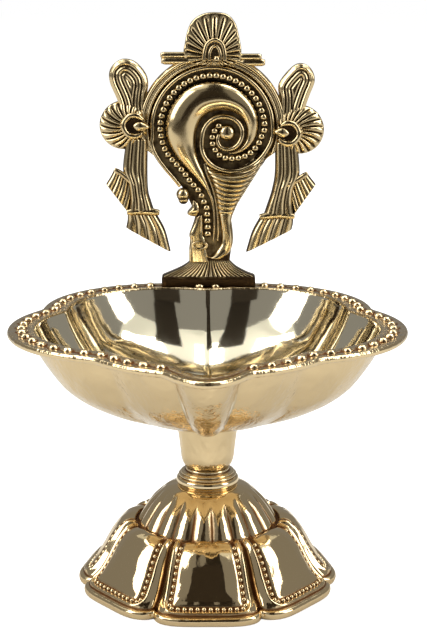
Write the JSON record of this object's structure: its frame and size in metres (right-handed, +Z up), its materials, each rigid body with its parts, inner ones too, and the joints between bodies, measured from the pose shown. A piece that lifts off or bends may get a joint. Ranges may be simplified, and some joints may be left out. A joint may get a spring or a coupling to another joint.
{
  "type": "diya oil lamp",
  "caption": "Footed oil lamp: lobed bowl with one wick spout, upright conch plate on the rear rim, petalled foot, bowl held by a stud and nut.",
  "frame": {"origin": "centre of the foot on the surface the lamp stands on, on the axis of the stem", "axes": "+Z up along the stem, -Y towards the front, where the wick spout points, +X to the right seen from the front"},
  "size_m": [0.1054, 0.1118, 0.152],
  "materials": {
    "foot_brass": "mirror polished, brown patina in the grooves",
    "collar_brass": "turned and polished",
    "bowl_brass": "satin outside, mirror polished inside",
    "plate_brass": "antique: dark patina in the recesses, buffed high spots",
    "zinc_steel": "zinc plated"
  },
  "bodies": {
    "foot": {"foot": "foot_brass", "collar_ring": "collar_brass", "stud_washer": "zinc_steel", "stud_nut": "zinc_steel"},
    "stud": {"bowl_stud": "zinc_steel"},
    "bowl": {"bowl": "bowl_brass", "conch_plate": "plate_brass", "plate_screws": "zinc_steel"}
  },
  "joints": [
    {"name": "stud_rise", "type": "slide", "parent": "foot", "child": "stud", "axis": [0, 0, 1], "range_m": [0, 0.006]},
    {"name": "bowl_turn", "type": "hinge", "parent": "stud", "child": "bowl", "pos_m": [0, 0, 0.035], "axis": [0, 0, 1], "range_deg": [0, 2070]}
  ],
  "couplings": [
    {"joint": "stud_rise", "follows": "bowl_turn", "m_per_rad": 0.00015915}
  ]
}
